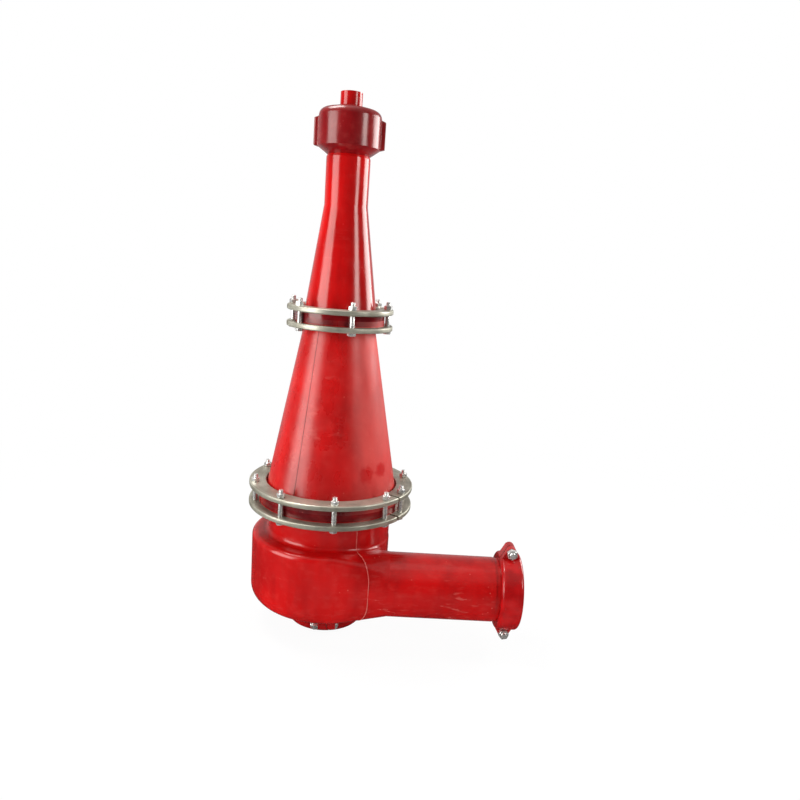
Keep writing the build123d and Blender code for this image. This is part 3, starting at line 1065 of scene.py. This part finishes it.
    def flank(self, share: np.ndarray, upper: bool, turn: float) -> np.ndarray:
        """Cuts the spout with a half plane through the axis: where Y is X times the plane's tangent.

        Args:
            share: Places along the edge, from 0 at the rear to 3 at the front.
            upper: Whether the edge runs over the top.
            turn: The plane's angle, in radians.

        Returns:
            Points of distance from the axis and height, in millimetres.
        """
        scroll_y, scroll_z, pipe_y, pipe_z = self.spout_edge(share, upper)
        slope = tan(turn)
        ahead = slope * self.spout_start - self.feed_y - scroll_y
        along = ahead / (pipe_y - scroll_y - slope * self.spout_length)
        x = self.spout_start + along * self.spout_length
        return np.stack([x / cos(turn), self.feed_z + scroll_z + along * (pipe_z - scroll_z)], -1)

    def mould_seam(self) -> Object:
        """Makes the seam: a low half-round bead carried along its path, with its foot in the wall.

        Returns:
            The new piece.
        """
        path = self.seam_path()
        tangent = np.gradient(path, axis=0)
        tangent /= np.linalg.norm(tangent, axis=1, keepdims=True)
        outwards = np.stack([-tangent[:, 1], tangent[:, 0]], -1)
        bow = np.linspace(0.0, pi, 9)
        foot = 0.3 * self.seam_width
        across = np.concatenate([0.5 * self.seam_width * np.cos(bow), [-foot, foot]])
        root = [-self.seam_root, -self.seam_root]
        raised = np.concatenate([self.seam_height * np.sin(bow) - self.seam_sink, root])
        step = np.arange(len(path))
        thin = 0.75 + 0.25 * np.sin(step * 0.55) * np.sin(step * 0.23 + 1.0)
        loops = bead(path, outwards, across[None] * thin[:, None], raised, radians(self.seam_angle))
        return closed_piece("mould_seam", loops, sharp=60.0)

    def build(self) -> list[Object]:
        """Makes the cove and the seam.

        Returns:
            The cove and the seam.
        """
        pieces = [self.neck_cove(), self.mould_seam()]
        return pieces

    def dress(self, pieces: list[Object], red: Material, seam: Material) -> None:
        """Gives the chamber, the vortex finder and the cove their red, and the seam a paler one.

        Args:
            pieces: The cove and the seam.
            red: The moulding's finish.
            seam: The seam's finish.
        """
        for node in ("feed_chamber", "vortex_finder"):
            dress(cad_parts[node], red)
        dress(pieces[0], red)
        dress(pieces[1], seam)


@dataclass
class Cones:
    """The two cones, with the mould's parting line down the wide one."""

    base_radius: float = 174.4
    base_z: float = 391.5
    top_radius: float = 91.2
    top_z: float = 833.5
    line_angle: float = -119.8
    line_width: float = 2.4
    line_height: float = 0.35
    line_sink: float = 0.08
    line_root: float = 0.8

    def build(self) -> list[Object]:
        """Makes the parting line: a low ridge along the cone's side, sunk into it at the edges.

        Returns:
            The parting line, as a list of one.
        """
        rise = np.linspace(self.base_z + 0.5, self.top_z - 14.0, 60)
        radius = np.interp(rise, [self.base_z, self.top_z], [self.base_radius, self.top_radius])
        path = np.stack([radius, rise], -1)
        slope = (self.base_radius - self.top_radius) / (self.top_z - self.base_z)
        outwards = np.broadcast_to([1.0, slope], path.shape)
        bow = np.linspace(0.0, pi, 7)
        across = np.concatenate([0.5 * self.line_width * np.cos(bow), [-0.5, 0.5]])
        root = [-self.line_root, -self.line_root]
        raised = np.concatenate([self.line_height * np.sin(bow) - self.line_sink, root])
        loops = bead(path, outwards, across[None], raised, radians(self.line_angle))
        line = closed_piece("parting_line", loops, sharp=60.0)
        return [line]

    def dress(
        self, pieces: list[Object], upper: Material, lower: Material, line: Material
    ) -> None:
        """Gives each cone its red, and the parting line a darker one.

        Args:
            pieces: The parting line, as a list of one.
            upper: The wide cone's finish.
            lower: The narrow cone's finish.
            line: The parting line's finish.
        """
        dress(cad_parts["upper_cone"], upper)
        dress(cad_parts["lower_cone"], lower)
        dress(pieces[0], line)


@dataclass
class SpigotEnd:
    """The spigot insert, whose stub stands out at the top, and its nut with two grip ribs."""

    bottom: float = 1247.0
    chamfer_top: float = 1265.0
    side_top: float = 1336.0
    dome_top: float = 1363.0
    inner_face: float = 1335.0
    lip_radius: float = 52.5
    body_radius: float = 77.7
    bore_radius: float = 50.3
    tip_hole: float = 27.5
    shoulder: float = 18.0
    rib_depth: float = 10.7
    rib_half_width: float = 9.0
    rib_top: float = 1334.0
    rib_angle: float = -1.0
    columns: int = 480

    def profile(self) -> np.ndarray:
        """Draws half the nut's section as a closed loop: up the side, over the dome, down the bore.

        Returns:
            Points of distance from the axis and height, in millimetres.
        """
        side = np.concatenate([
            np.linspace(self.chamfer_top - 2.0, self.chamfer_top + 6.0, 9),
            np.linspace(self.chamfer_top + 14.0, self.rib_top - 14.0, 5),
            np.linspace(self.rib_top - 8.0, self.side_top, 11),
        ])
        slope = (self.body_radius - self.lip_radius) / (self.chamfer_top - self.bottom)
        flank = np.minimum(self.body_radius, self.lip_radius + slope * (side - self.bottom))
        turn = np.linspace(0.0, pi / 2, 9)[1:]
        arc_radius = self.body_radius - self.shoulder * (1 - np.cos(turn))
        arc = np.stack([arc_radius, self.side_top + self.shoulder * np.sin(turn)], -1)
        start = [(self.bore_radius, self.bottom), (self.lip_radius, self.bottom)]
        end = [
            (self.tip_hole, self.dome_top),
            (self.tip_hole, self.inner_face),
            (self.bore_radius, self.inner_face),
        ]
        return np.concatenate([start, np.stack([flank, side], -1), arc, end])

    def build(self) -> list[Object]:
        """Makes the nut: its section turned about the axis, and swollen outwards at the two ribs.

        The swelling is the rib's depth times three smooth steps: one across the rib, from the
        distance to its middle plane, and one at each end, from the height.

        Returns:
            The nut, as a list of one.
        """
        radius, height = self.profile().T
        around = np.arange(self.columns) * (2 * pi / self.columns)
        offset = np.abs(self.body_radius * np.sin(around - radians(self.rib_angle)))
        across = 1 - self.step(offset, self.rib_half_width - 2.2, self.rib_half_width + 1.4)
        low = self.step(height, self.chamfer_top - 1.5, self.chamfer_top + 2.5)
        high = 1 - self.step(height, self.rib_top - 4.5, self.rib_top + 1.5)
        outer = radius > self.body_radius - 3.0
        swell = self.rib_depth * np.outer(low * high * outer, across)
        reach = radius[:, None] + swell
        level = np.broadcast_to(height[:, None], reach.shape)
        points = np.stack([reach * np.cos(around), reach * np.sin(around), level], -1)
        nut = closed_piece("spigot_nut_body", points[None] * MM, close_rows=True, sharp=38.0)
        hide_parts("spigot_nut")
        return [nut]

    def step(self, value: np.ndarray, low: float, high: float) -> np.ndarray:
        """Rises smoothly from 0 to 1 between two values: three times the square less twice the cube."""
        share = np.clip((value - low) / (high - low), 0.0, 1.0)
        return share * share * (3 - 2 * share)

    def dress(self, pieces: list[Object], stub: Material, nut: Material) -> None:
        """Gives the insert the moulded red and the nut its darker red.

        Args:
            pieces: The nut, as a list of one.
            stub: The insert's finish.
            nut: The nut's finish.
        """
        dress(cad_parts["spigot_insert"], stub)
        for piece in pieces:
            dress(piece, nut)


# Studio


@dataclass(frozen=True)
class Lamp:
    """A soft lamp: its angle round the axis and its lift in degrees, its size in metres, its watts."""

    name: str
    angle: float
    lift: float
    width: float
    height: float
    watts: float

    def hang(self, distance: float, middle: float) -> None:
        """Hangs the lamp round the object, facing the middle of its axis.

        Args:
            distance: How far it hangs from that middle, in metres.
            middle: The height of that middle.
        """
        data = bpy.data.lights.new(self.name, "AREA")
        data.shape = "RECTANGLE"
        data.size, data.size_y = self.width, self.height
        data.energy = self.watts
        lamp = linked(self.name, data)
        turn, lift = radians(self.angle), radians(self.lift)
        flat = distance * cos(lift)
        lamp.location = (flat * cos(turn), flat * sin(turn), middle + distance * sin(lift))
        lamp.rotation_euler = (pi / 2 - lift, 0.0, turn + pi / 2)


@dataclass
class Studio:
    """Camera, lamps, white surround, pale floor and dim room; the camera's angles are in radians."""

    camera_place: Point = (0.1018, -1.8416, 1.0088)
    yaw: float = 0.0491
    pitch: float = 0.2180
    roll: float = -0.0748
    lens: float = 31.44
    shift: tuple[float, float] = (-0.0084, 0.0174)
    fill: float = 0.29
    lamp_distance: float = 3.0
    lamp_middle: float = 1.15
    lamps: tuple[Lamp, ...] = (
        Lamp("left_lamp", angle=-152.8, lift=0.0, width=2.0, height=2.6, watts=98.0),
        Lamp("right_lamp", angle=-31.8, lift=13.0, width=0.85, height=1.3, watts=31.0),
        Lamp("rear_lamp", angle=26.0, lift=10.0, width=1.8, height=1.6, watts=84.0),
        Lamp("top_lamp", angle=170.0, lift=62.0, width=1.6, height=1.6, watts=112.0),
    )
    floor_half: float = 20.0
    floor_level: float = -0.0005
    room_angle: float = -86.8
    room_radius: float = 4.6
    room_top: float = 75.0
    room_level: float = 0.002
    room_points: int = 64
    room_grey: float = 0.045
    room_pale: float = 0.5

    def camera(self) -> None:
        """Sets the camera where the photograph was taken from, and turns it the same way."""
        flat = cos(self.pitch)
        ahead = np.array([sin(self.yaw) * flat, cos(self.yaw) * flat, -sin(self.pitch)])
        level = np.array([cos(self.yaw), -sin(self.yaw), 0.0])
        down = np.cross(ahead, level)
        right = cos(self.roll) * level + sin(self.roll) * down
        below = cos(self.roll) * down - sin(self.roll) * level
        data = bpy.data.cameras.new("camera")
        data.lens = self.lens
        data.sensor_width = 36.0
        data.shift_x, data.shift_y = self.shift
        data.clip_start = 0.05
        camera = linked("camera", data)
        turn = np.eye(4)
        turn[:3] = np.stack([right, -below, -ahead, self.camera_place], -1)
        camera.matrix_world = Matrix(turn.tolist())
        bpy.context.scene.camera = camera

    def surround(self) -> None:
        """Makes the world white where it is seen or mirrored, and a plain grey where it lights."""
        world = bpy.data.worlds.new("surround")
        bpy.context.scene.world = world
        world.use_nodes = True
        tree = world.node_tree
        tree.nodes.clear()
        back = tree.nodes.new("ShaderNodeBackground")
        seen = self.seen(tree)
        level = tree.nodes.new("ShaderNodeMapRange")
        level.inputs["To Min"].default_value = self.fill
        level.inputs["To Max"].default_value = 1.0
        tree.links.new(seen, level.inputs["Value"])
        tree.links.new(level.outputs[0], back.inputs["Strength"])
        back.inputs["Color"].default_value = (1.0, 1.0, 1.0, 1.0)
        tree.links.new(back.outputs[0], tree.nodes.new("ShaderNodeOutputWorld").inputs[0])

    def seen(self, tree: bpy.types.NodeTree) -> Socket:
        """Gives 1 for rays that come from the camera, a mirror or glass, and 0 for the rest.

        Args:
            tree: The node tree that asks.

        Returns:
            The answer, as a socket of that tree.
        """
        path = tree.nodes.new("ShaderNodeLightPath")
        result = path.outputs["Is Camera Ray"]
        for ray in ("Is Glossy Ray", "Is Transmission Ray"):
            either = tree.nodes.new("ShaderNodeMath")
            either.operation = "MAXIMUM"
            tree.links.new(result, either.inputs[0])
            tree.links.new(path.outputs[ray], either.inputs[1])
            result = either.outputs[0]
        return result

    def floor(self) -> None:
        """Lays a wide pale floor, which fades into the white surround away from the object."""
        edge = np.array([-self.floor_half, self.floor_half])
        x, y = np.meshgrid(edge, edge)
        points = np.stack([x, y, np.full_like(x, self.floor_level)], -1).reshape(-1, 3)
        mesh = bpy.data.meshes.new("floor")
        mesh.from_pydata(points.tolist(), [], [(0, 1, 3, 2)])
        floor = linked("floor", mesh)
        board = Board("floor_paper")
        tree = board.tree
        reach = board.add("ShaderNodeVectorMath", operation="LENGTH")
        board.feed(reach.inputs[0], board.place)
        far = board.ramp(reach.outputs["Value"], 0.35, 2.2, 0.95, 1.0)
        glow = board.add("ShaderNodeEmission")
        glow.inputs["Strength"].default_value = 1.0
        board.set(Base_Color=(0.86, 0.86, 0.86), Roughness=0.9, Specular_IOR_Level=0.0)
        blend = board.add("ShaderNodeMixShader")
        board.feed(blend.inputs[0], board.product(far, self.seen(tree)))
        tree.links.new(board.shader.outputs[0], blend.inputs[1])
        tree.links.new(glow.outputs[0], blend.inputs[2])
        output = next(node for node in tree.nodes if node.type == "OUTPUT_MATERIAL")
        tree.links.new(blend.outputs[0], output.inputs[0])
        dress(floor, board.material)

    def room(self) -> None:
        """Puts a dim room round the stage, which only shiny surfaces see.

        It is a floor and a dome round the cyclone's axis: radius times cosine and sine of the
        angle, by height. It is grey towards the viewer, and paler behind the object and overhead.
        """
        turn = (np.arange(self.room_points) * (2 * pi / self.room_points))[None]
        lift = np.radians(np.linspace(0.0, self.room_top, 9))
        reach = np.concatenate([[0.02, 1.5], self.room_radius * np.cos(lift)])[:, None]
        rise = np.concatenate([[0.0, 0.0], self.room_radius * np.sin(lift)])[:, None]
        tall = np.broadcast_to(self.room_level + rise, (len(rise), self.room_points))
        points = np.stack([reach * np.cos(turn), reach * np.sin(turn), tall], -1)
        faces = grid_faces(len(rise), self.room_points, False)
        mesh = bpy.data.meshes.new("dim_room")
        mesh.from_pydata(points.reshape(-1, 3).tolist(), [], faces.tolist())
        room = linked("dim_room", mesh)
        room.visible_camera = False
        room.visible_diffuse = False
        room.visible_shadow = False
        board = Board("room_grey")
        towards = board.add("ShaderNodeVectorMath", operation="DOT_PRODUCT")
        board.feed(towards.inputs[0], board.place)
        viewer = radians(self.room_angle)
        towards.inputs[1].default_value = (cos(viewer), sin(viewer), 0.0)
        behind = board.ramp(towards.outputs["Value"], 0.0, -0.9 * self.room_radius)
        above = board.ramp(board.axes()[2], 0.45 * self.room_radius, 0.95 * self.room_radius)
        share = board.math("MAXIMUM", behind, above)
        level = board.ramp(share, 0.0, 1.0, self.room_grey, self.room_pale)
        board.set(Base_Color=(0.0, 0.0, 0.0), Specular_IOR_Level=0.0)
        board.set(Emission_Color=(1.0, 1.0, 1.0), Emission_Strength=level)
        dress(room, board.material)

    def build(self) -> None:
        """Sets up the camera, the surround, the floor, the room and the lamps."""
        bpy.context.scene.view_settings.view_transform = "Standard"
        self.camera()
        self.surround()
        self.floor()
        self.room()
        for lamp in self.lamps:
            lamp.hang(self.lamp_distance, self.lamp_middle)


def overflow_frame(angle: float) -> tuple[Point, Point]:
    """Gives the overflow coupling's directions to its ears and to its nuts, a quarter turn apart."""
    turn = radians(angle)
    return (cos(turn), sin(turn), 0.0), (sin(turn), -cos(turn), 0.0)


def report(name: str, pieces: list[Object]) -> None:
    """Logs a sub-assembly and the pieces that were made for it."""
    log.info("%s: %s", name, ", ".join(piece.name for piece in pieces))


def main() -> None:
    """Builds and dresses every sub-assembly, then sets up the studio."""
    logging.basicConfig(level=logging.INFO, format="%(name)s: %(message)s")
    # Painted shade on the flanges held between the rings of each clamp.
    large_band = PaintedShadeBand(low=0.3525, high=0.3915, radius=0.178)
    small_band = PaintedShadeBand(low=0.8335, high=0.8625, radius=0.098)
    chamber_red = MouldedRed(
        "chamber_red", scuffs=0.26, specks=0.4, mottle=0.05, shade_bands=(large_band,)
    ).material()
    cone_red = DustyRed(
        "upper_cone_red",
        gloss=(0.25, 0.32), wave=0.10, mottle=0.05,
        wiped=(((0.0935, -0.1311, 0.4625), 0.028), ((0.1312, -0.0919, 0.4669), 0.024)),
        shade_bands=(large_band, small_band),
    ).material()
    neck_red = MouldedRed(
        "lower_cone_red",
        gloss=(0.13, 0.20), wave=0.10, scuffs=0.15, specks=0.2, mottle=0.02, shade_bands=(small_band,),
    ).material()
    nut_red = MouldedRed(
        "nut_red",
        deep=(0.16, 0.002, 0.004), clear=(0.25, 0.003, 0.005), gloss=(0.18, 0.27),
        scuffs=0.1, specks=0.1,
    ).material()
    seam_red = MouldedRed(
        "seam_red",
        deep=(0.48, 0.03, 0.025), clear=(0.62, 0.15, 0.12), pale=(0.8, 0.5, 0.45), gloss=(0.4, 0.55),
    ).material()
    line_red = MouldedRed(
        "line_red", deep=(0.13, 0.002, 0.003), clear=(0.25, 0.003, 0.004)
    ).material()
    plate = BrushedSteel().material()
    bolt = PlatedSteel().material()
    paint = CastPaint().material()
    rubber = Rubber().material()

    chamber = FeedChamber()
    pieces = chamber.build()
    chamber.dress(pieces, chamber_red, seam_red)
    report("feed chamber", pieces)

    cones = Cones()
    pieces = cones.build()
    cones.dress(pieces, cone_red, neck_red, line_red)
    report("cones", pieces)

    spigot = SpigotEnd()
    pieces = spigot.build()
    spigot.dress(pieces, neck_red, nut_red)
    report("spigot end", pieces)

    large_joint = ClampJoint(
        "large_ring", lower_z=339.5, grip=65.0, bore=176.5, rim=221.5,
        bolt_radius=206.0, bolts_per_half=5, spread=160.0, half_angle=-124.0, seed=3,
    )
    small_joint = ClampJoint(
        "small_ring", lower_z=820.5, grip=55.0, bore=96.5, rim=138.0,
        bolt_radius=124.0, bolts_per_half=3, spread=136.0, half_angle=-73.0, seed=8,
    )
    for joint in (large_joint, small_joint):
        report(joint.name, joint.build(plate, bolt))

    feed_coupling = Coupling(
        "feed_coupling", halves=("front", "rear"),
        centre=(486.0, -130.0, 166.0), ears=(0.0, 0.0, 1.0), nut_side=(0.0, -1.0, 0.0),
    )
    overflow_ears, overflow_nuts = overflow_frame(angle=-84.0)
    overflow_coupling = Coupling(
        "overflow_coupling", halves=("left", "right"),
        centre=(0.0, 0.0, 28.5), ears=overflow_ears, nut_side=overflow_nuts,
    )
    for coupling in (feed_coupling, overflow_coupling):
        pieces = coupling.build()
        coupling.dress(pieces, paint, rubber, bolt)
        report(coupling.name, pieces)

    Studio().build()
    log.info("studio: camera, surround, floor, room and lamps")


if __name__ == "__main__":
    main()
